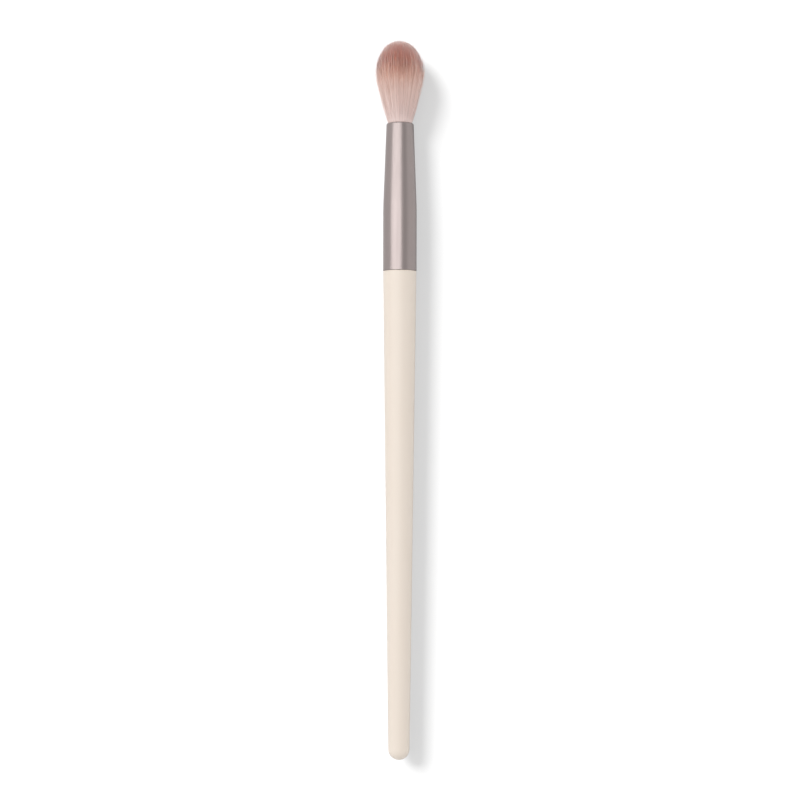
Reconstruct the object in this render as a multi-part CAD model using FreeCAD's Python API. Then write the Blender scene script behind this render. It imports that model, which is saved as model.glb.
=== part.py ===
import FreeCAD
import Part

import math
import os

# Eyeshadow blending brush, lying on its side.
# The hair points along +Y, +Z is up, and the origin lies under the middle of the brush,
# on the surface that the belly of the hair rests on. Every size is in millimetres.

# Handle: turned wood with a tenon, under a film of lacquer
HANDLE_LENGTH = 119.0
BUTT_DIA = 5.2
SEAM_STEP = 0.02
WOOD_ROUND = 0.1
LACQUER_FILM = 0.12
TENON_SHORTFALL = 2.6
TENON_CHAMFER = 0.5
GROOVE_COUNT = 3
GROOVE_WIDTH = 0.8
GROOVE_DEPTH = 0.25
GLUE_FILM = 0.1

# Ferrule: a straight barrel that tapers to a rounded mouth
BARREL_LENGTH = 15.6
TAPER_LENGTH = 20.2
BARREL_DIA = 8.14
MOUTH_DIA = 6.62
FERRULE_WALL = 0.35
KNEE_RADIUS = 90.0
LIP_FLAT = 0.05
RIM_ROUND = 0.1

# Hair root: the tied and glued end of the hair, inside the ferrule
ROOT_DEPTH = 12.0
ROOT_CLEARANCE = 0.1
ROOT_RECESS = 0.8
EPOXY_PLUG = 2.0
EPOXY_RISE = 2.4
THREAD_GAP = 0.8
THREAD_DIA = 0.25
THREAD_TURNS = 6
THREAD_BITE = 0.18

# Tuft: the free hair, a cone that swells to a belly under a dome
TUFT_DIA = 11.7
BELLY_HEIGHT = 12.0
DOME_HEIGHT = 8.2
BELLY_RUN = 3.3
BELLY_SWELL = 0.61
HAIR_INSET = 0.23
NECK_HEIGHT = 3.5
NECK_ANGLE = 5.0
BEND_PIVOT = 1.5
BEND_CLEARANCE = 0.15

# Shares that set how full the curves of the tuft are, of the heights and the radius that they join
FLARE_REACH_SHARE = 0.35
BELLY_REACH_SHARE = 0.45
DOME_RISE_SHARE = 0.55
DOME_CROWN_SHARE = 0.65

# Extra length of a cutting body past the piece that it cuts
OVERRUN = 1.0

# Places along the brush, from the butt to the tip of the hair
overall_length = HANDLE_LENGTH + BARREL_LENGTH + TAPER_LENGTH + BELLY_HEIGHT + DOME_HEIGHT
butt_y = -overall_length / 2
seam_y = butt_y + HANDLE_LENGTH
knee_y = seam_y + BARREL_LENGTH
mouth_y = knee_y + TAPER_LENGTH
pivot_y = mouth_y + BEND_PIVOT
belly_y = mouth_y + BELLY_HEIGHT
tip_y = belly_y + DOME_HEIGHT
axis_z = max(TUFT_DIA, BARREL_DIA) / 2

# Ferrule: the wall is even, so the inner cone runs beside the outer one
barrel_r = BARREL_DIA / 2
mouth_r = MOUTH_DIA / 2
bore_r = barrel_r - FERRULE_WALL
cone_angle = math.atan2(barrel_r - mouth_r, TAPER_LENGTH)
bore_knee_y = knee_y - FERRULE_WALL * math.tan(cone_angle / 2)
mouth_bore_r = bore_r - (mouth_y - bore_knee_y) * math.tan(cone_angle)

# Handle: the straight side leaves the ball at the butt as a tangent
shoulder_r = barrel_r - SEAM_STEP
butt_r = BUTT_DIA / 2
ball_y = butt_y + butt_r
side_run = seam_y - ball_y
side_angle = math.acos(butt_r / math.hypot(shoulder_r, side_run)) - math.atan2(side_run, shoulder_r)

# What fits in the bore: the tenon, the root of the hair and its thread, and the ball the hair turns on
tenon_r = bore_r - GLUE_FILM
tenon_end_y = knee_y - TENON_SHORTFALL
root_r = mouth_bore_r - ROOT_CLEARANCE
root_end_y = mouth_y - ROOT_DEPTH
epoxy_top_y = root_end_y + EPOXY_RISE
thread_y = epoxy_top_y + THREAD_GAP
thread_end_y = thread_y + THREAD_TURNS * THREAD_DIA
thread_bed_r = root_r - THREAD_BITE
bend_ball_r = math.hypot(mouth_bore_r - BEND_CLEARANCE, BEND_PIVOT)


class Outline:
    """A closed outline in the half plane of radius and place along the brush."""

    def __init__(self, radius, along):
        self.first = FreeCAD.Vector(radius, along, 0)
        self.last = self.first
        self.edges = []

    def line(self, radius, along):
        """A straight run from where the outline is."""
        end = FreeCAD.Vector(radius, along, 0)
        self.edges.append(Part.LineSegment(self.last, end).toShape())
        self.last = end

    def arc(self, centre_radius, centre_along, radius, start_angle, end_angle):
        """An arc from where the outline is, with angles from straight out, towards the hair."""
        spots = []
        for angle in ((start_angle + end_angle) / 2, end_angle):
            across = centre_radius + radius * math.cos(angle)
            along = centre_along + radius * math.sin(angle)
            spots.append(FreeCAD.Vector(across, along, 0))
        self.edges.append(Part.Arc(self.last, *spots).toShape())
        self.last = spots[-1]

    def curve(self, *poles):
        """A Bezier curve from where the outline is, with its poles as (radius, along)."""
        spots = [FreeCAD.Vector(radius, along, 0) for radius, along in poles]
        bezier = Part.BezierCurve()
        bezier.setPoles([self.last, *spots])
        self.edges.append(bezier.toShape())
        self.last = spots[-1]

    def spin(self):
        """The solid that the closed outline sweeps about the axis of the brush."""
        self.line(self.first.x, self.first.y)
        face = Part.Face(Part.Wire(self.edges))
        swept = face.revolve(FreeCAD.Vector(0, 0, 0), FreeCAD.Vector(0, 1, 0), 360)
        return Part.Solid(swept.Shells[0])


def rod(radius, start_y, end_y):
    """A plain cylinder along the brush."""
    return Part.makeCylinder(radius, end_y - start_y, FreeCAD.Vector(0, start_y, 0), FreeCAD.Vector(0, 1, 0))


def handle_body(inset):
    """The handle below the ferrule, taken in by inset all over: ball, straight taper, eased shoulder."""
    full_round = WOOD_ROUND + LACQUER_FILM
    round_left = full_round - inset
    round_y = seam_y - full_round
    round_r = shoulder_r - full_round * (1 + math.sin(side_angle)) / math.cos(side_angle)
    body = Outline(0, butt_y + inset)
    body.arc(0, ball_y, butt_r - inset, -math.pi / 2, -side_angle)
    body.line(round_r + round_left * math.cos(side_angle), round_y - round_left * math.sin(side_angle))
    body.arc(round_r, round_y, round_left, -side_angle, math.pi / 2)
    body.line(0, seam_y - inset)
    return body.spin()


def make_handle_core():
    """Turned wood: the body under the lacquer, with a grooved tenon that keys the glue."""
    tenon = Outline(0, seam_y - OVERRUN)
    tenon.line(tenon_r, seam_y - OVERRUN)
    pitch = (tenon_end_y - seam_y) / (GROOVE_COUNT + 1)
    for number in range(1, GROOVE_COUNT + 1):
        groove_y = seam_y + number * pitch - GROOVE_WIDTH / 2
        tenon.line(tenon_r, groove_y)
        tenon.line(tenon_r - GROOVE_DEPTH, groove_y)
        tenon.line(tenon_r - GROOVE_DEPTH, groove_y + GROOVE_WIDTH)
        tenon.line(tenon_r, groove_y + GROOVE_WIDTH)
    tenon.line(tenon_r, tenon_end_y - TENON_CHAMFER)
    tenon.line(tenon_r - TENON_CHAMFER, tenon_end_y)
    tenon.line(0, tenon_end_y)
    return handle_body(LACQUER_FILM).fuse(tenon.spin()).removeSplitter()


def make_handle_lacquer():
    """The even coat on the wood, over the shoulder as far as the bare tenon."""
    coat = handle_body(0).cut(handle_body(LACQUER_FILM))
    return coat.cut(rod(tenon_r, seam_y - OVERRUN, seam_y + OVERRUN))


def make_ferrule():
    """A seamless drawn tube: eased rim, straight barrel, soft knee, taper and rounded lip."""
    knee_run = KNEE_RADIUS * math.tan(cone_angle / 2)
    lip_round = FERRULE_WALL - LIP_FLAT
    lip_y = mouth_y - lip_round
    lip_r = mouth_r - lip_round * (1 - math.sin(cone_angle)) / math.cos(cone_angle)
    tube = Outline(bore_r, seam_y)
    tube.line(barrel_r - RIM_ROUND, seam_y)
    tube.arc(barrel_r - RIM_ROUND, seam_y + RIM_ROUND, RIM_ROUND, -math.pi / 2, 0)
    tube.line(barrel_r, knee_y - knee_run)
    tube.arc(barrel_r - KNEE_RADIUS, knee_y - knee_run, KNEE_RADIUS, 0, cone_angle)
    tube.line(lip_r + lip_round * math.cos(cone_angle), lip_y + lip_round * math.sin(cone_angle))
    tube.arc(lip_r, lip_y, lip_round, cone_angle, math.pi / 2)
    tube.line(mouth_bore_r, mouth_y)
    tube.line(bore_r, bore_knee_y)
    return tube.spin()


def bore_fill(start_y, end_y):
    """What fills the bore of the ferrule from start_y to end_y."""
    fill = Outline(0, seam_y)
    fill.line(bore_r, seam_y)
    fill.line(bore_r, bore_knee_y)
    fill.line(mouth_bore_r, mouth_y)
    fill.line(0, mouth_y)
    return fill.spin().common(rod(barrel_r, start_y, end_y))


def make_tenon_glue(handle_core):
    """The glue between the tenon and the barrel, which also fills the grooves."""
    return bore_fill(seam_y, tenon_end_y).cut(handle_core)


def make_root_epoxy():
    """The cup of cured epoxy that holds the root of the hair in the ferrule."""
    return bore_fill(root_end_y - EPOXY_PLUG, epoxy_top_y).cut(rod(root_r, root_end_y, mouth_y))


def make_binding_thread():
    """The thread that ties the hair, as one band of touching turns."""
    thread_r = THREAD_DIA / 2
    band = Outline(thread_bed_r, thread_y)
    band.line(thread_bed_r + thread_r, thread_y)
    for turn in range(THREAD_TURNS):
        turn_y = thread_y + turn * THREAD_DIA + thread_r
        band.arc(thread_bed_r + thread_r, turn_y, thread_r, -math.pi / 2, math.pi / 2)
    band.line(thread_bed_r, thread_end_y)
    return band.spin()


def make_bristle_root():
    """The packed end of the hair, drawn in under the thread and dished where the free hair turns."""
    stub = rod(root_r, root_end_y, mouth_y - ROOT_RECESS)
    dish = Part.makeSphere(bend_ball_r + BEND_CLEARANCE, FreeCAD.Vector(0, pivot_y, 0))
    bed = rod(root_r + OVERRUN, thread_y, thread_end_y).cut(rod(thread_bed_r, thread_y, thread_end_y))
    return stub.cut(dish).cut(bed)


def make_bristle_tuft():
    """The free hair: it turns on a ball in the mouth, flares as a cone, swells and closes in a dome."""
    tuft_r = TUFT_DIA / 2
    flare_r = tuft_r - BELLY_SWELL
    flare_y = belly_y - BELLY_RUN
    cone_r = mouth_r - HAIR_INSET
    lean = (flare_r - cone_r) / (flare_y - mouth_y)
    flare_reach = FLARE_REACH_SHARE * BELLY_RUN
    belly_reach = BELLY_REACH_SHARE * BELLY_RUN
    dome_reach = DOME_RISE_SHARE * DOME_HEIGHT
    crown_r = DOME_CROWN_SHARE * tuft_r
    hair = Outline(0, pivot_y - bend_ball_r)
    hair.arc(0, pivot_y, bend_ball_r, -math.pi / 2, math.radians(NECK_ANGLE))
    hair.line(cone_r + lean * NECK_HEIGHT, mouth_y + NECK_HEIGHT)
    hair.line(flare_r, flare_y)
    hair.curve(
        (flare_r + lean * flare_reach, flare_y + flare_reach),
        (tuft_r, belly_y - belly_reach),
        (tuft_r, belly_y),
    )
    hair.curve((tuft_r, belly_y + dome_reach), (crown_r, tip_y), (0, tip_y))
    return hair.spin()


def make_parts():
    """Every piece of the brush, by its name, on an axis at height zero."""
    handle_core = make_handle_core()
    return {
        "handle_core": handle_core,
        "handle_lacquer": make_handle_lacquer(),
        "tenon_glue": make_tenon_glue(handle_core),
        "ferrule": make_ferrule(),
        "root_epoxy": make_root_epoxy(),
        "binding_thread": make_binding_thread(),
        "bristle_root": make_bristle_root(),
        "bristle_tuft": make_bristle_tuft(),
    }


os.makedirs("parts", exist_ok=True)
for name, shape in make_parts().items():
    shape.translate(FreeCAD.Vector(0, 0, axis_z))
    shape.exportStep(f"parts/{name}.step")
    print(f"{name}: {len(shape.Solids)} solid, valid {shape.isValid()}, {shape.Volume:.2f} mm3")
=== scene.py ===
import math

import bpy
import numpy as np
from mathutils import Matrix, Vector
from mathutils.kdtree import KDTree


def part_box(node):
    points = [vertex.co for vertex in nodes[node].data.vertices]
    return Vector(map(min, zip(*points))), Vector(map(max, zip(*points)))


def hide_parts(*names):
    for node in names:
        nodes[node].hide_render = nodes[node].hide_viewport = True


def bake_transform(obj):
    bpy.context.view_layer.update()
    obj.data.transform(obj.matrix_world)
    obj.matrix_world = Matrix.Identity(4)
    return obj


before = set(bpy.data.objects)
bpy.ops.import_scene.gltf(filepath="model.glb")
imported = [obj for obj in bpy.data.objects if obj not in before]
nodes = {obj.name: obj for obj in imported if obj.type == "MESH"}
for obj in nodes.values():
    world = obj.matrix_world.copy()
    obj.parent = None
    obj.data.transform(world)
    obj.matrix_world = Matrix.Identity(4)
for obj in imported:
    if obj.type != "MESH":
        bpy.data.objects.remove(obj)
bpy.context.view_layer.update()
mm = 0.001

# Landmarks, all read from the frame
ferruleLow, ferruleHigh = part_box("ferrule")
axisZ = (ferruleLow.z + ferruleHigh.z) / 2
mouthY = ferruleHigh.y
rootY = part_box("bristle_root")[0].y
threadLow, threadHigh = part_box("binding_thread")
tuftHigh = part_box("bristle_tuft")[1]
tuftR, tipY = tuftHigh.x, tuftHigh.y
print("frame loaded: mouth at %.1f mm, tip at %.1f mm" % (mouthY / mm, tipY / mm))


def shaderTree(name):
    material = bpy.data.materials.new(name)
    material.use_nodes = True
    tree = material.node_tree
    return material, tree, tree.nodes["Principled BSDF"]


def addNode(tree, kind, inputs=None, **settings):
    made = tree.nodes.new(kind)
    for key, value in settings.items():
        setattr(made, key, value)
    for key, value in (inputs or {}).items():
        if isinstance(value, bpy.types.NodeSocket):
            tree.links.new(value, made.inputs[key])
        else:
            made.inputs[key].default_value = value
    return made


def rgb(red, green, blue):
    # sRGB 0 to 255 in, scene linear out
    def linear(value):
        share = value / 255
        return share / 12.92 if share <= 0.04045 else ((share + 0.055) / 1.055) ** 2.4
    return (linear(red), linear(green), linear(blue), 1)


def stretchedNoise(tree, scale, detail, roughness=0.5):
    # noise in the object's own metres, stretched by scale along x, y and z
    place = addNode(tree, "ShaderNodeTexCoord")
    mapping = addNode(tree, "ShaderNodeMapping", {"Vector": place.outputs["Object"], "Scale": scale})
    return addNode(tree, "ShaderNodeTexNoise", {
        "Vector": mapping.outputs["Vector"], "Scale": 1, "Detail": detail, "Roughness": roughness})


def mapped(tree, value, fromLow, fromHigh, toLow, toHigh, easing="LINEAR"):
    return addNode(tree, "ShaderNodeMapRange", {
        "Value": value, "From Min": fromLow, "From Max": fromHigh, "To Min": toLow, "To Max": toHigh,
    }, interpolation_type=easing).outputs["Result"]


def mixColour(tree, share, first, second, way="MIX"):
    mix = addNode(tree, "ShaderNodeMix", data_type="RGBA", blend_type=way)
    for socket, value in ((0, share), (6, first), (7, second)):
        if isinstance(value, bpy.types.NodeSocket):
            tree.links.new(value, mix.inputs[socket])
        else:
            mix.inputs[socket].default_value = value
    return mix.outputs[2]


def setBump(tree, bsdf, height, strength, distance):
    bump = addNode(tree, "ShaderNodeBump", {"Strength": strength, "Distance": distance, "Height": height})
    tree.links.new(bump.outputs["Normal"], bsdf.inputs["Normal"])


def dress(name, material):
    nodes[name].data.materials.clear()
    nodes[name].data.materials.append(material)


# Handle: satin cream lacquer with the faintest flow marks
lacquer = {
    "cream": rgb(237, 225, 213),
    "warm": rgb(235, 222, 208),
    "cloud": (260, 60, 260),
    "peel": (1500, 900, 1500),
    "detail": 2,
    "peelBand": (0.3, 0.7),
    "peelStrength": 0.25,
    "peelDepth": 0.012 * mm,
    "rough": (0.34, 0.42),
}


def creamLacquer():
    material, tree, bsdf = shaderTree("creamLacquer")
    cloud = stretchedNoise(tree, lacquer["cloud"], lacquer["detail"])
    tree.links.new(mixColour(tree, cloud.outputs["Fac"], lacquer["cream"], lacquer["warm"]),
                   bsdf.inputs["Base Color"])
    peel = stretchedNoise(tree, lacquer["peel"], lacquer["detail"])
    tree.links.new(mapped(tree, peel.outputs["Fac"], *lacquer["peelBand"], *lacquer["rough"]),
                   bsdf.inputs["Roughness"])
    setBump(tree, bsdf, peel.outputs["Fac"], lacquer["peelStrength"], lacquer["peelDepth"])
    return material


# Ferrule: satin taupe metal with fine drawing lines along it
metal = {
    "taupe": rgb(164, 153, 151),
    "shade": rgb(159, 148, 146),
    "lines": (9000, 60, 9000),
    "cloud": (300, 120, 300),
    "cloudDetail": 3,
    "lineDetail": 2,
    "lineBand": (0.3, 0.7),
    "lineStrength": 0.2,
    "lineDepth": 0.004 * mm,
    "rough": (0.30, 0.38),
}


def taupeMetal():
    material, tree, bsdf = shaderTree("taupeMetal")
    bsdf.inputs["Metallic"].default_value = 1
    cloud = stretchedNoise(tree, metal["cloud"], metal["cloudDetail"])
    tree.links.new(mixColour(tree, cloud.outputs["Fac"], metal["taupe"], metal["shade"]),
                   bsdf.inputs["Base Color"])
    lines = stretchedNoise(tree, metal["lines"], metal["lineDetail"])
    tree.links.new(mapped(tree, lines.outputs["Fac"], *metal["lineBand"], *metal["rough"]),
                   bsdf.inputs["Roughness"])
    setBump(tree, bsdf, lines.outputs["Fac"], metal["lineStrength"], metal["lineDepth"])
    return material


# Inside: bare wood, glues and thread, which show only when the brush is taken apart
inside = {
    "handle_core": {
        "name": "turnedWood", "pale": rgb(205, 170, 125), "deep": rgb(170, 128, 84),
        "grain": (900, 25, 900), "rough": 0.6, "depth": 0.03 * mm},
    "tenon_glue": {
        "name": "tenonGlue", "pale": rgb(226, 214, 176), "deep": rgb(205, 184, 132),
        "grain": (500, 500, 500), "rough": 0.35, "depth": 0.02 * mm},
    "root_epoxy": {
        "name": "rootEpoxy", "pale": rgb(222, 202, 150), "deep": rgb(190, 160, 100),
        "grain": (700, 700, 700), "rough": 0.25, "depth": 0.02 * mm},
    "binding_thread": {
        "name": "boundThread", "pale": rgb(232, 226, 214), "deep": rgb(190, 180, 164),
        "grain": (2500, 9000, 2500), "rough": 0.8, "depth": 0.03 * mm},
}
mottle = {"detail": 4, "band": (0.35, 0.65), "strength": 0.5}


def mottled(look):
    material, tree, bsdf = shaderTree(look["name"])
    noise = stretchedNoise(tree, look["grain"], mottle["detail"]).outputs["Fac"]
    share = mapped(tree, noise, *mottle["band"], 0, 1)
    tree.links.new(mixColour(tree, share, look["pale"], look["deep"]), bsdf.inputs["Base Color"])
    bsdf.inputs["Roughness"].default_value = look["rough"]
    setBump(tree, bsdf, noise, mottle["strength"], look["depth"])
    return material


dress("handle_lacquer", creamLacquer())
dress("ferrule", taupeMetal())
for nodeName, nodeLook in inside.items():
    dress(nodeName, mottled(nodeLook))
print("solids dressed")


# Hair: a body from the glued root to under the dome, dressed in locks of fine separate fibres
hair = {
    "seed": 29,
    "domeLocks": 640,
    "domeFibres": 3,
    "coneLocks": 96,
    "coneFibres": 2,
    "wispCount": 180,
    "downCount": 900,  # fine short hair between the locks of the crown
    "downLow": 17.5 * mm,
    "downProud": (-0.20 * mm, -0.02 * mm),
    "downPoints": 4,
    "downShort": 0.5,
    "downSlim": 0.7,
    "downTone": -1,
    "downShade": 1.5,
    "sides": 4,
    "lanes": 32,
    "rootWidth": 0.055 * mm,
    "midWidth": 0.08 * mm,
    "tipWidth": 0.032 * mm,
    "flatness": 0.45,  # fibres lie on the tuft like fine ribbons
    "packedR": 2.80 * mm,  # inside the ferrule
    "tiedR": 2.60 * mm,  # under the thread
    "mouthR": 2.88 * mm,
    "coneR": 2.94 * mm,
    "coneLean": 0.250,
    "lipEase": 0.22 * mm,
    "bellyR": 5.90 * mm,
    "bellyEase": 0.20 * mm,
    "bellyHeight": 12.0 * mm,
    "domePower": 2.15,
    "domeLow": 9.0 * mm,  # lowest tips of the dome's locks
    "crowding": (0.5, 2.5),  # how close the locks stand on the belly and on the crown
    "coneTips": (8.0 * mm, 15.0 * mm),
    "leanMost": 0.40,
    "sink": 0.06,
    "reach": (1.6 * mm, 6.0 * mm),  # length of a lock at the crown and at the belly
    "proudLow": -0.20 * mm,
    "proudFade": 0.16 * mm,
    "inset": 0.04 * mm,
    "bulge": 0.12 * mm,
    "lockSpread": 0.13 * mm,
    "lockTaper": 0.5,
    "ragged": 0.25 * mm,
    "wave": 0.03 * mm,
    "coneDepth": 0.10 * mm,  # of the body under the surface
    "domeDepth": 0.26 * mm,
    "tipLean": -0.2 * mm,
    "bodyColumns": 480,
    "bodyRows": 96,
    "ridge": 0.015 * mm,
    "stripes": 84,
    "paintedPaleCoatTone": 0.64,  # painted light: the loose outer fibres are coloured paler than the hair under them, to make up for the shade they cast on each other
    "bodyTone": 0.43,
    "lockShade": 0.08,
    "stripeShade": 0.11,
    "combShade": 0.08,
    "plainCrownR": 3.0 * mm,
    # painted light: fibres that stand proud are coloured paler, standing in for light shining through the
    # fringe
    "proudPaintedGlow": 0.6,
    "stiffDepth": 0.2 * mm,  # the hair is stiff below this depth in the mouth
    "bendReach": 8.0 * mm,  # and has taken the whole bend this far out of it
    "streak": 9,  # how much longer than wide a streak of the body is
    "loosenDepth": 1.5 * mm,  # the hair is packed below this depth, and opens to the mouth above it
    "slopeStep": 0.05 * mm,
    "domeSteps": 400,
    "waveTurn": 5,
    "straightR": 1.0 * mm,  # fibres nearer the axis than this spread less and less
    "domePoints": 8,
    "upright": 0.8,  # share of the lean that is gone at the crown
    "lipHeights": (0, 0.3 * mm, 0.9 * mm),
    "conePoints": 9,
    "proudPower": 1.5,
    "coneSpread": 0.6,
    "proudSpan": 0.5 * mm,
    "toneSpread": 0.17,
    "fibreSpread": 0.08,
    "mapLow": 0.02,
    "mapSpan": 0.96,
    "mapOver": 2.0 * mm,
    "laneEdge": 0.1,
    "bodySteps": 2000,
    "slopeFrom": 1.0 * mm,
    "depthHeights": (0, 2.0 * mm, 9.0 * mm, 14.0 * mm),
    "leastR": 0.01 * mm,
    "combMost": 2,
    "stripeRings": 4,
    "heightScatter": 0.2 * mm,
    "turnScatter": 0.06,
    "coneScatter": 0.4,
    "lockMiddle": 1.5 * mm,  # from a lock's tip down to its middle
    "lockStep": 2.0 * mm,
    "wispProud": 0.1 * mm,
}
rootHeight = rootY - mouthY
tipHeight = tipY - mouthY
tieLow, tieHigh = threadLow.y - mouthY, threadHigh.y - mouthY
goldenTurn = math.pi * (3 - math.sqrt(5))


def crownShare(height):
    # 0 up to the belly, 1 at the tip
    return np.clip((height - hair["bellyHeight"]) / (tipHeight - hair["bellyHeight"]), 0, 1)


def surfaceRadius(height):
    # outer radius of the hair at a height over the mouth
    free = np.maximum(height, 0)
    cone = hair["coneR"] + hair["coneLean"] * free
    cone = cone - (hair["coneR"] - hair["mouthR"]) * np.exp(-free / hair["lipEase"])
    dome = hair["bellyR"] * (1 - crownShare(height) ** hair["domePower"]) ** (1 / hair["domePower"])
    ease = hair["bellyEase"]
    swell = np.maximum(-ease * np.log(np.exp(-cone / ease) + np.exp(-dome / ease)), 0)
    stops = [rootHeight, tieLow, tieHigh, -hair["loosenDepth"], 0]
    packedR, tiedR = hair["packedR"], hair["tiedR"]
    packed = np.interp(height, stops, [packedR, tiedR, tiedR, packedR, hair["mouthR"]])
    return np.where(height < 0, packed, swell)


def surfaceSlope(height):
    # how fast the surface draws in towards the tip; below zero on the cone
    step = hair["slopeStep"]
    spot = np.minimum(height, tipHeight - 2 * step)
    return (surfaceRadius(spot - step) - surfaceRadius(spot + step)) / (2 * step)


def leaned(heights):
    # how far the hair's middle has swung aside at a height
    return hair["tipLean"] * np.clip(heights / tipHeight, 0, 1) ** 3


def domeSpots(count, lowest):
    # tips spread over the dome, closest on the crown: height over the mouth, and turn round the axis
    heights = np.linspace(lowest, tipHeight, hair["domeSteps"])
    radius = surfaceRadius(heights)
    bands = np.hypot(np.diff(radius), np.diff(heights)) * (radius[:-1] + radius[1:])
    crowd = np.interp(crownShare(heights[1:]) ** 2, [0, 1], hair["crowding"])
    area = np.concatenate([[0], np.cumsum(bands * crowd)])
    rank = np.arange(count)
    return np.interp((rank + 0.5) / count * area[-1], area, heights), rank * goldenTurn


def lockFibres(heights, turns, each, dice):
    # the fibres of every lock: lock number, tip height, turn, place aside of the lock, proud of the surface
    lock = np.repeat(np.arange(len(heights)), each)
    tips = heights[lock] + dice.normal(0, hair["ragged"], len(lock))
    tips = tipHeight - np.abs(tipHeight - tips)  # none stands past the crown
    aside = dice.normal(0, hair["lockSpread"], len(lock))
    proud = hair["proudLow"] + dice.exponential(hair["proudFade"], len(lock))
    return lock, tips, turns[lock], aside, proud


def placed(radius, heights, turns, aside, dice):
    # points along each fibre; a lock narrows towards its tip, and every fibre waves a little
    share = np.linspace(0, 1, heights.shape[1])[None, :]
    phase = dice.uniform(0, 2 * math.pi, len(turns))[:, None]
    wave = hair["wave"] * share * np.sin(hair["waveTurn"] * share + phase)
    shift = aside[:, None] * (1 - hair["lockTaper"] * share) + wave
    shift = shift * np.clip(radius / hair["straightR"], 0, 1)
    x = radius * np.cos(turns)[:, None] - shift * np.sin(turns)[:, None]
    z = radius * np.sin(turns)[:, None] + shift * np.cos(turns)[:, None]
    lying = np.maximum(axisZ + z, 0)  # on the table, not in it
    return np.stack([x + leaned(heights), mouthY + heights, lying], -1)


def domePaths(tips, turns, aside, proud, dice, steps, short=1):
    # from the tip down along the surface, with the lean held back, sinking slowly under the neighbours
    slope = surfaceSlope(tips)
    size = np.hypot(1, slope)
    past = crownShare(tips)
    crownReach, bellyReach = hair["reach"]
    reach = short * (bellyReach + (crownReach - bellyReach) * past ** 2)
    leanMost = hair["leanMost"] * (1 - hair["upright"] * past ** 3)
    top = tips + proud * slope / size
    heights = top[:, None] - reach[:, None] * np.linspace(1, 0, steps)[None, :]
    radius = np.zeros_like(heights)
    radius[:, -1] = np.maximum(surfaceRadius(tips) + proud / size, 0)
    for step in range(steps - 2, -1, -1):
        middle = (heights[:, step] + heights[:, step + 1]) / 2
        lean = np.minimum(surfaceSlope(middle), leanMost) - hair["sink"]
        radius[:, step] = radius[:, step + 1] + lean * (heights[:, step + 1] - heights[:, step])
    return placed(np.maximum(radius, 0), heights, turns, aside, dice), heights


def conePaths(tips, turns, aside, proud, dice, bulge=0):
    # from the root, past the thread and out of the mouth, then on the cone up to the tip
    low = np.array([rootHeight, tieLow, tieHigh, -hair["loosenDepth"], *hair["lipHeights"]])
    rise = np.linspace(0, 1, hair["conePoints"] + 1)[1:]
    heights = np.concatenate([np.broadcast_to(low, (len(tips), len(low))),
                              low[-1] + (tips - low[-1])[:, None] * rise], 1)
    share = np.clip(heights / tips[:, None], 0, 1)
    inset = -dice.uniform(0, hair["inset"], len(tips))
    swing = bulge * dice.exponential(1, len(tips))
    radius = surfaceRadius(heights) - hair["coneDepth"] / 2 * (heights > 0) + inset[:, None] * (1 - share)
    radius = radius + proud[:, None] * share ** hair["proudPower"]
    radius = radius + swing[:, None] * np.sin(math.pi * share)
    return placed(radius, heights, turns, aside * hair["coneSpread"], dice), heights


def hairLanes(lockTone, proud, dice):
    # lanes from dark to pale: the fibres of a lock look alike; the coat's paler base tone and the paler
    # colour of fibres that stand proud are painted light, for the shade among the fibres and the light
    # shining through the fringe
    paintedGlow = hair["proudPaintedGlow"] * np.clip((proud - hair["proudLow"]) / hair["proudSpan"], 0, 1)
    tone = hair["paintedPaleCoatTone"] + paintedGlow + hair["toneSpread"] * lockTone
    tone = tone + hair["fibreSpread"] * dice.normal(0, 1, len(lockTone))
    return np.clip(np.floor(tone * hair["lanes"]), 0, hair["lanes"] - 1).astype(int)


def addMesh(name, points, faces, tones, heights, smooth):
    mesh = bpy.data.meshes.new(name)
    mesh.from_pydata(points.tolist(), [], faces)
    mesh.polygons.foreach_set("use_smooth", np.full(len(mesh.polygons), smooth))
    for label, values in (("tone", tones), ("height", heights)):
        mesh.attributes.new(label, "FLOAT", "POINT").data.foreach_set("value", values.astype(np.float32))
    piece = bpy.data.objects.new(name, mesh)
    bpy.context.scene.collection.objects.link(piece)
    return piece


def mapHeight(heights):
    top = tipHeight + hair["mapOver"]
    return hair["mapLow"] + hair["mapSpan"] * (heights - rootHeight) / (top - rootHeight)


def setMap(mesh, u, v):
    layer = mesh.uv_layers.new(name="OFBake")
    layer.data.foreach_set("uv", np.stack([u, v], 1).astype(np.float32).ravel())


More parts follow.
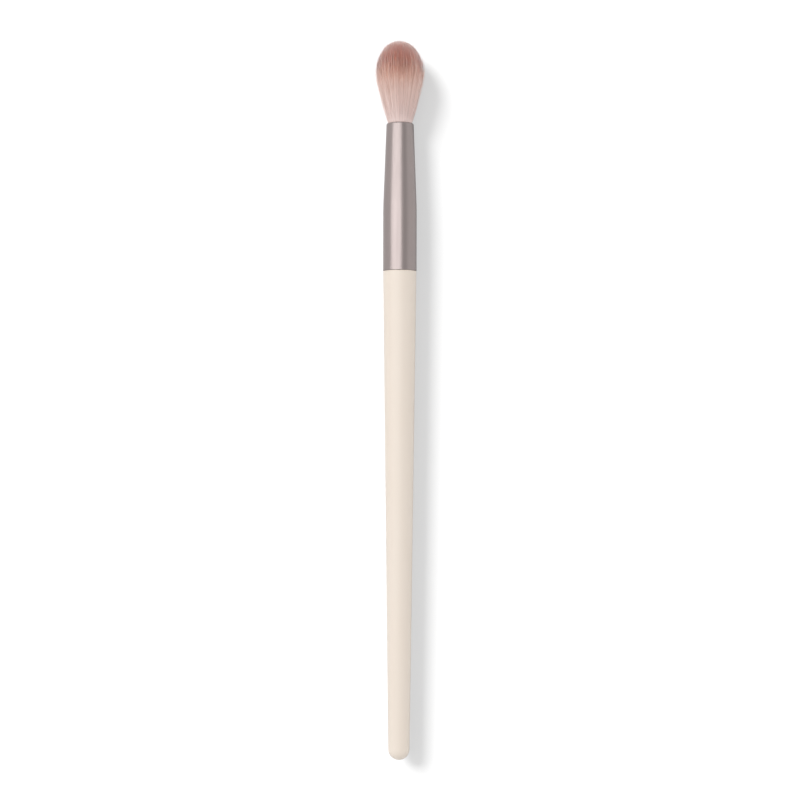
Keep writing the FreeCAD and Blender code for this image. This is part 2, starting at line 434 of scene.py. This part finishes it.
def fibreMesh(name, paths, heights, lanes, turns, slim=1):
    count, steps, _ = paths.shape
    sides = hair["sides"]
    along = np.linspace(0, 1, steps)
    width = slim * np.interp(along, [0, 0.5, 1], [hair["rootWidth"], hair["midWidth"], hair["tipWidth"]])
    outward = np.stack([np.cos(turns), np.zeros(count), np.sin(turns)], 1)
    across = np.stack([-np.sin(turns), np.zeros(count), np.cos(turns)], 1)
    corner = math.pi * (2 * np.arange(sides) + 1) / sides  # a flat side looks outwards
    ring = hair["flatness"] * outward[:, None, :] * np.cos(corner)[None, :, None]
    ring = ring + across[:, None, :] * np.sin(corner)[None, :, None]
    points = paths[:, :, None, :] + ring[:, None, :, :] * (width / 2)[None, :, None, None]
    index = np.arange(count * steps * sides).reshape(count, steps, sides)
    low, high = index[:, :-1, :], index[:, 1:, :]
    quads = np.stack([low, high, np.roll(high, -1, 2), np.roll(low, -1, 2)], -1).reshape(-1, 4)
    caps = np.concatenate([index[:, 0, :], index[:, -1, ::-1]])
    tones = np.repeat((lanes + 0.5) / hair["lanes"], steps * sides)
    pointHeights = np.repeat(heights.reshape(-1), sides)
    piece = addMesh(name, points.reshape(-1, 3), quads.tolist() + caps.tolist(), tones, pointHeights, False)
    # every fibre of one tone shares one lane of the map, laid out by height
    side = np.arange(sides)
    left, right = side / sides, (side + 1) / sides
    quadPlace = np.broadcast_to(np.stack([left, left, right, right], -1), (count, steps - 1, sides, 4))
    place = np.concatenate([quadPlace.reshape(-1), np.tile(side / sides, 2 * count)])
    corners = np.concatenate([quads.reshape(-1), caps.reshape(-1)])
    edge = hair["laneEdge"]
    u = (lanes[corners // (sides * steps)] + edge + (1 - 2 * edge) * place) / hair["lanes"]
    setMap(piece.data, u, mapHeight(pointHeights[corners]))
    return piece


def stripedRing(columns, cells, dice):
    # soft random stripes round the tuft
    knots = dice.normal(0, 1, cells)
    spot = np.arange(columns) * cells / columns
    low = np.floor(spot).astype(int)
    return knots[low % cells] * (1 - spot + low) + knots[(low + 1) % cells] * (spot - low)


def bodyMesh(name, lockTone, nearestLock, dice):
    # the mass of hair under the locks, finely ridged, closed at the root and at the crown
    columns = hair["bodyColumns"]
    fine = np.linspace(0, tipHeight, hair["bodySteps"])
    run = np.concatenate([[0], np.cumsum(np.hypot(np.diff(surfaceRadius(fine)), np.diff(fine)))])
    free = np.interp(np.linspace(0, run[-1], hair["bodyRows"]), run, fine)[:-1]
    slope = surfaceSlope(free) * (free > hair["slopeFrom"])
    size = np.hypot(1, slope)
    shallow, deep = hair["coneDepth"], hair["domeDepth"]
    depth = np.interp(free, hair["depthHeights"], [shallow / 2, shallow, shallow, deep])
    low = np.array([rootHeight, tieLow, tieHigh, -hair["loosenDepth"]])
    heights = np.concatenate([low, free - depth * slope / size])
    radius = np.concatenate([surfaceRadius(low) - depth[0], surfaceRadius(free) - depth / size])
    radius = np.maximum(radius, hair["leastR"])
    top = tipHeight - deep
    turn = 2 * math.pi * np.arange(columns) / columns
    way = np.stack([np.cos(turn), np.sin(turn)], -1)
    comb = dice.normal(0, 1, columns)
    ridge = hair["ridge"] * np.clip(comb, -hair["combMost"], hair["combMost"])
    out = radius[:, None] + ridge[None, :] * np.clip(radius / tuftR, 0, 1)[:, None]
    points = np.stack([out * way[:, 0] + leaned(heights)[:, None],
                       np.broadcast_to((mouthY + heights)[:, None], out.shape),
                       axisZ + out * way[:, 1]], -1).reshape(-1, 3)
    rings = hair["stripeRings"]
    stripes = np.stack([stripedRing(columns, hair["stripes"], dice) for _ in range(rings)])
    rise = np.clip(heights / tipHeight, 0, 1) * (rings - 1)
    below = np.minimum(np.floor(rise).astype(int), rings - 2)
    part = (rise - below)[:, None]
    striped = stripes[below] * (1 - part) + stripes[below + 1] * part
    striped = hair["stripeShade"] * striped + hair["combShade"] * comb[None, :]
    striped = striped * np.clip(radius / hair["plainCrownR"], 0, 1)[:, None]  # no star at the crown
    tone = hair["bodyTone"] + hair["lockShade"] * lockTone[nearestLock(points)] + striped.reshape(-1)
    ends = [[0, mouthY + rootHeight, axisZ], [hair["tipLean"], mouthY + top, axisZ]]
    points = np.concatenate([points, ends])
    index = np.arange(len(heights) * columns).reshape(len(heights), columns)
    lower, upper = index[:-1], index[1:]
    quads = np.stack([lower, upper, np.roll(upper, -1, 1), np.roll(lower, -1, 1)], -1).reshape(-1, 4)
    rootPoint, crownPoint = len(points) - 2, len(points) - 1
    first, last = index[0], index[-1]
    fans = np.concatenate([np.stack([np.full(columns, rootPoint), first, np.roll(first, -1)], 1),
                           np.stack([np.full(columns, crownPoint), np.roll(last, -1), last], 1)])
    tones = np.concatenate([np.clip(tone, 0, 1), [hair["bodyTone"]] * 2])
    pointHeights = np.concatenate([np.repeat(heights, columns), [rootHeight, top]])
    piece = addMesh(name, points, quads.tolist() + fans.tolist(), tones, pointHeights, True)
    column = np.arange(columns) / columns
    quadPlace = np.stack([column, column, column + 1 / columns, column + 1 / columns], -1)
    fanRoot = np.stack([column + 0.5 / columns, column, column + 1 / columns], -1)
    fanCrown = np.stack([column + 0.5 / columns, column + 1 / columns, column], -1)
    u = np.concatenate([np.tile(quadPlace.reshape(-1), len(heights) - 1), fanRoot.reshape(-1),
                        fanCrown.reshape(-1)])
    corners = np.concatenate([quads.reshape(-1), fans.reshape(-1)])
    v = mapHeight(pointHeights[corners])
    v = np.where(corners == rootPoint, 0, np.where(corners == crownPoint, 1, v))
    setMap(piece.data, u, v)
    return piece


# Hair colours by height over the mouth: pale at the root, rose-brown towards the tip
hairColour = {
    "stops": (
        (0, rgb(224, 203, 198)),
        (7.5 * mm, rgb(221, 193, 183)),
        (11.0 * mm, rgb(203, 154, 135)),
        (15.0 * mm, rgb(168, 88, 65)),
        (18.0 * mm, rgb(159, 87, 69)),
        (20.2 * mm, rgb(178, 121, 109)),
    ),
    "drift": 2.2 * mm,
    "darkTone": 0.83,
    "paleTone": 1.20,
    "rough": (0.55, 0.42),
    "specular": 0.35,
    "softFrom": (10.0 * mm, 14.0 * mm),  # light shines through the loose hair of the dome
    "softDepth": 1.0 * mm,
    "softReach": (0.4, 0.7, 1.0),  # share of that depth for red, green and blue
    "sheen": 1.0,
    "sheenRough": 0.63,
    "sheenTint": rgb(255, 240, 234),
}


def softHair():
    material, tree, bsdf = shaderTree("softHair")
    tone = addNode(tree, "ShaderNodeAttribute", attribute_name="tone").outputs["Fac"]
    height = addNode(tree, "ShaderNodeAttribute", attribute_name="height").outputs["Fac"]
    drift = mapped(tree, tone, 0, 1, hairColour["drift"], -hairColour["drift"])
    level = addNode(tree, "ShaderNodeMath", {0: height, 1: drift}, operation="ADD").outputs[0]
    stops = hairColour["stops"]
    endHeight = stops[-1][0]
    ramp = addNode(tree, "ShaderNodeValToRGB", {"Fac": mapped(tree, level, 0, endHeight, 0, 1)})
    marks = ramp.color_ramp.elements
    marks[0].color = stops[0][1]
    marks[1].color = stops[-1][1]
    for stopHeight, colour in stops[1:-1]:
        marks.new(stopHeight / endHeight).color = colour
    bright = mapped(tree, tone, 0, 1, hairColour["darkTone"], hairColour["paleTone"])
    grey = addNode(tree, "ShaderNodeCombineColor", {"Red": bright, "Green": bright, "Blue": bright})
    tree.links.new(mixColour(tree, 1, ramp.outputs["Color"], grey.outputs["Color"], "MULTIPLY"),
                   bsdf.inputs["Base Color"])
    tree.links.new(mapped(tree, tone, 0, 1, *hairColour["rough"]), bsdf.inputs["Roughness"])
    bsdf.inputs["Specular IOR Level"].default_value = hairColour["specular"]
    tree.links.new(mapped(tree, height, *hairColour["softFrom"], 0, 1, "SMOOTHSTEP"),
                   bsdf.inputs["Subsurface Weight"])
    bsdf.inputs["Subsurface Radius"].default_value = hairColour["softReach"]
    bsdf.inputs["Subsurface Scale"].default_value = hairColour["softDepth"]
    bsdf.inputs["Sheen Weight"].default_value = hairColour["sheen"]
    bsdf.inputs["Sheen Roughness"].default_value = hairColour["sheenRough"]
    bsdf.inputs["Sheen Tint"].default_value = hairColour["sheenTint"]
    return material


def growHair():
    dice = np.random.default_rng(hair["seed"])
    domeHeights, domeTurns = domeSpots(hair["domeLocks"], hair["domeLow"])
    domeHeights = domeHeights + dice.normal(0, hair["heightScatter"], len(domeHeights))
    domeTurns = domeTurns + dice.normal(0, hair["turnScatter"], len(domeTurns))
    domeTone = dice.normal(0, 1, len(domeTurns))
    coneRank = np.arange(hair["coneLocks"])
    scatter = dice.uniform(-hair["coneScatter"], hair["coneScatter"], len(coneRank))
    coneTurns = 2 * math.pi * (coneRank + scatter) / len(coneRank)
    coneHeights = dice.uniform(*hair["coneTips"], len(coneRank))
    coneTone = dice.normal(0, 1, len(coneRank))

    # where every lock lies, so that the body under it takes the same tone
    spots, tones = [], []
    for height, turn, tone in zip(domeHeights, domeTurns, domeTone):
        spots.append((max(height - hair["lockMiddle"], 0), turn))
        tones.append(tone)
    for height, turn, tone in zip(coneHeights, coneTurns, coneTone):
        for low in np.arange(rootHeight, height, hair["lockStep"]):
            spots.append((low, turn))
            tones.append(tone)
    finder = KDTree(len(spots))
    for number, (height, turn) in enumerate(spots):
        radius = float(surfaceRadius(height))
        finder.insert((radius * math.cos(turn), height / hair["streak"], radius * math.sin(turn)), number)
    finder.balance()

    def nearestLock(points):
        spotted = [(x, (y - mouthY) / hair["streak"], z - axisZ) for x, y, z in points.tolist()]
        return np.array([finder.find(spot)[1] for spot in spotted])

    pieces = [bodyMesh("hair_body", np.array(tones), nearestLock, dice)]
    lock, tips, turns, aside, proud = lockFibres(domeHeights, domeTurns, hair["domeFibres"], dice)
    paths, heights = domePaths(tips, turns, aside, proud, dice, hair["domePoints"])
    pieces.append(fibreMesh("hair_dome", paths, heights, hairLanes(domeTone[lock], proud, dice), turns))
    lock, tips, turns, aside, proud = lockFibres(coneHeights, coneTurns, hair["coneFibres"], dice)
    paths, heights = conePaths(tips, turns, aside, proud, dice)
    pieces.append(fibreMesh("hair_cone", paths, heights, hairLanes(coneTone[lock], proud, dice), turns))
    wispTurns = dice.uniform(0, 2 * math.pi, hair["wispCount"])
    wispHeights = dice.uniform(*hair["coneTips"], hair["wispCount"])
    _, tips, turns, aside, proud = lockFibres(wispHeights, wispTurns, 1, dice)
    proud = np.abs(proud) + hair["wispProud"]
    paths, heights = conePaths(tips, turns, aside, proud, dice, hair["bulge"])
    wispTone = dice.normal(0, 1, len(tips))
    pieces.append(fibreMesh("hair_wisps", paths, heights, hairLanes(wispTone, proud, dice), turns))
    downHeights, downTurns = domeSpots(hair["downCount"], hair["downLow"])
    downTurns = downTurns + dice.normal(0, hair["turnScatter"], len(downTurns))
    _, tips, turns, aside, _ = lockFibres(downHeights, downTurns, 1, dice)
    proud = dice.uniform(*hair["downProud"], len(tips))
    paths, heights = domePaths(tips, turns, aside, proud, dice, hair["downPoints"], hair["downShort"])
    downTone = hair["downTone"] + hair["downShade"] * dice.normal(0, 1, len(tips))
    lanes = hairLanes(downTone, proud, dice)
    pieces.append(fibreMesh("hair_down", paths, heights, lanes, turns, hair["downSlim"]))
    material = softHair()
    for piece in pieces:
        piece.data.materials.append(material)
        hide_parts("bristle_tuft", "bristle_root")
        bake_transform(piece)
        print("%s: %d faces" % (piece.name, len(piece.data.polygons)))


growHair()


# Floor and light: a white table, a wide soft panel and a sun for the table from the upper left,
# a bright wall on the right
studio = {
    "floorSize": 40,
    "floorDrop": 0.05 * mm,
    "floorGlow": 0.525,
    "floorShade": 0.20,
    "floorBounce": 0.28,
    "floorMirrored": 0.2,  # how much of the white shows in mirrored rays
    "wall": 0.94,
    "ceiling": 0.62,
    "wallTop": (0.17, 0.35),
    "rightWall": (0.68, 0.86),
    "frontWall": (-0.97, -0.70),
    "frontDim": 0.2,
    "sunWay": (-0.53, 0.48, 0.70),
    "sunSpread": math.radians(25),
    "sunPower": 9.0,
    "panelWay": (-0.44, 0.156, 0.884),
    "panelAway": 7,
    "panelSize": (10.3, 4.1),
    "panelPower": 268,
}


def whiteFloor():
    half = studio["floorSize"] / 2
    mesh = bpy.data.meshes.new("floor")
    level = -studio["floorDrop"]
    corners = [(-half, -half, level), (half, -half, level), (half, half, level), (-half, half, level)]
    mesh.from_pydata(corners, [], [(0, 1, 2, 3)])
    floor = bpy.data.objects.new("floor", mesh)
    bpy.context.scene.collection.objects.link(floor)
    material = bpy.data.materials.new("whiteTable")
    material.use_nodes = True
    tree = material.node_tree
    tree.nodes.clear()
    path = addNode(tree, "ShaderNodeLightPath")
    mirrored = mapped(tree, path.outputs["Is Glossy Ray"], 0, 1, 0, studio["floorMirrored"])
    seen = addNode(tree, "ShaderNodeMath", {0: path.outputs["Is Camera Ray"], 1: mirrored},
                   operation="MAXIMUM")
    seen = addNode(tree, "ShaderNodeMath", {0: seen.outputs[0], 1: path.outputs["Is Transmission Ray"]},
                   operation="MAXIMUM")
    bounce, shade, glow = studio["floorBounce"], studio["floorShade"], studio["floorGlow"]
    plain = addNode(tree, "ShaderNodeBsdfDiffuse", {"Color": (bounce, bounce, bounce, 1)})
    shaded = addNode(tree, "ShaderNodeBsdfDiffuse", {"Color": (shade, shade, shade, 1)})
    glowing = addNode(tree, "ShaderNodeEmission", {"Color": (1, 1, 1, 1), "Strength": glow})
    white = addNode(tree, "ShaderNodeAddShader", {0: shaded.outputs[0], 1: glowing.outputs[0]})
    either = addNode(tree, "ShaderNodeMixShader", {
        0: seen.outputs[0], 1: plain.outputs[0], 2: white.outputs[0]})
    addNode(tree, "ShaderNodeOutputMaterial", {"Surface": either.outputs[0]})
    mesh.materials.append(material)
    return floor


def studioRoom():
    # white walls low down and on the right, a dimmer ceiling, and a dark side at the butt of the handle
    world = bpy.data.worlds.new("studio")
    bpy.context.scene.world = world
    world.use_nodes = True
    tree = world.node_tree
    place = addNode(tree, "ShaderNodeTexCoord")
    parts = addNode(tree, "ShaderNodeSeparateXYZ", {"Vector": place.outputs["Generated"]})
    low = mapped(tree, parts.outputs["Z"], *studio["wallTop"], 1, 0, "SMOOTHSTEP")
    right = mapped(tree, parts.outputs["X"], *studio["rightWall"], 0, 1, "SMOOTHSTEP")
    wall = addNode(tree, "ShaderNodeMath", {0: low, 1: right}, operation="MAXIMUM").outputs[0]
    strength = mapped(tree, wall, 0, 1, studio["ceiling"], studio["wall"])
    front = mapped(tree, parts.outputs["Y"], *studio["frontWall"], studio["frontDim"], 1, "SMOOTHSTEP")
    strength = addNode(tree, "ShaderNodeMath", {0: strength, 1: front}, operation="MULTIPLY").outputs[0]
    seen = addNode(tree, "ShaderNodeLightPath").outputs["Is Camera Ray"]  # white past the table's edge
    strength = mapped(tree, seen, 0, 1, strength, 1)
    tree.links.new(strength, tree.nodes["Background"].inputs["Strength"])
    tree.nodes["Background"].inputs["Color"].default_value = (1, 1, 1, 1)


def addLamp(name, kind, way, away, power):
    data = bpy.data.lights.new(name, kind)
    data.energy = power
    lamp = bpy.data.objects.new(name, data)
    back = Vector(way).normalized()
    across = Vector((0, 1, 0)).cross(back).normalized()
    turn = Matrix((across, back.cross(across), back)).transposed()
    lamp.matrix_world = Matrix.Translation(Vector((0, 0, axisZ)) + back * away) @ turn.to_4x4()
    bpy.context.scene.collection.objects.link(lamp)
    return lamp


floor = whiteFloor()
studioRoom()
sun = addLamp("tableLight", "SUN", studio["sunWay"], 1, studio["sunPower"])
sun.data.angle = studio["sunSpread"]
tableOnly = bpy.data.collections.new("tableOnly")
tableOnly.objects.link(floor)
sun.light_linking.receiver_collection = tableOnly  # whitens the table and leaves the brush as it is
panel = addLamp("topPanel", "AREA", studio["panelWay"], studio["panelAway"], studio["panelPower"])
panel.data.shape = "RECTANGLE"
panel.data.size, panel.data.size_y = studio["panelSize"]
print("studio lit")


# Camera: square over the brush, as far away as the ends' perspective shows
lens = {
    "away": 362 * mm,
    "focal": 66.9,
    "sensor": 36,
    "nearest": 10 * mm,
    "roll": math.radians(0.11),
    "across": 0.11 * mm,
    "along": 0.085 * mm,
}
camera = bpy.data.objects.new("camera", bpy.data.cameras.new("camera"))
camera.data.lens = lens["focal"]
camera.data.sensor_width = lens["sensor"]
camera.data.clip_start = lens["nearest"]
camera.rotation_euler = (0, 0, lens["roll"])
camera.location = (lens["across"], lens["along"], axisZ + lens["away"])
bpy.context.scene.collection.objects.link(camera)
bpy.context.scene.camera = camera
bpy.context.scene.view_settings.view_transform = "Standard"
print("camera set")
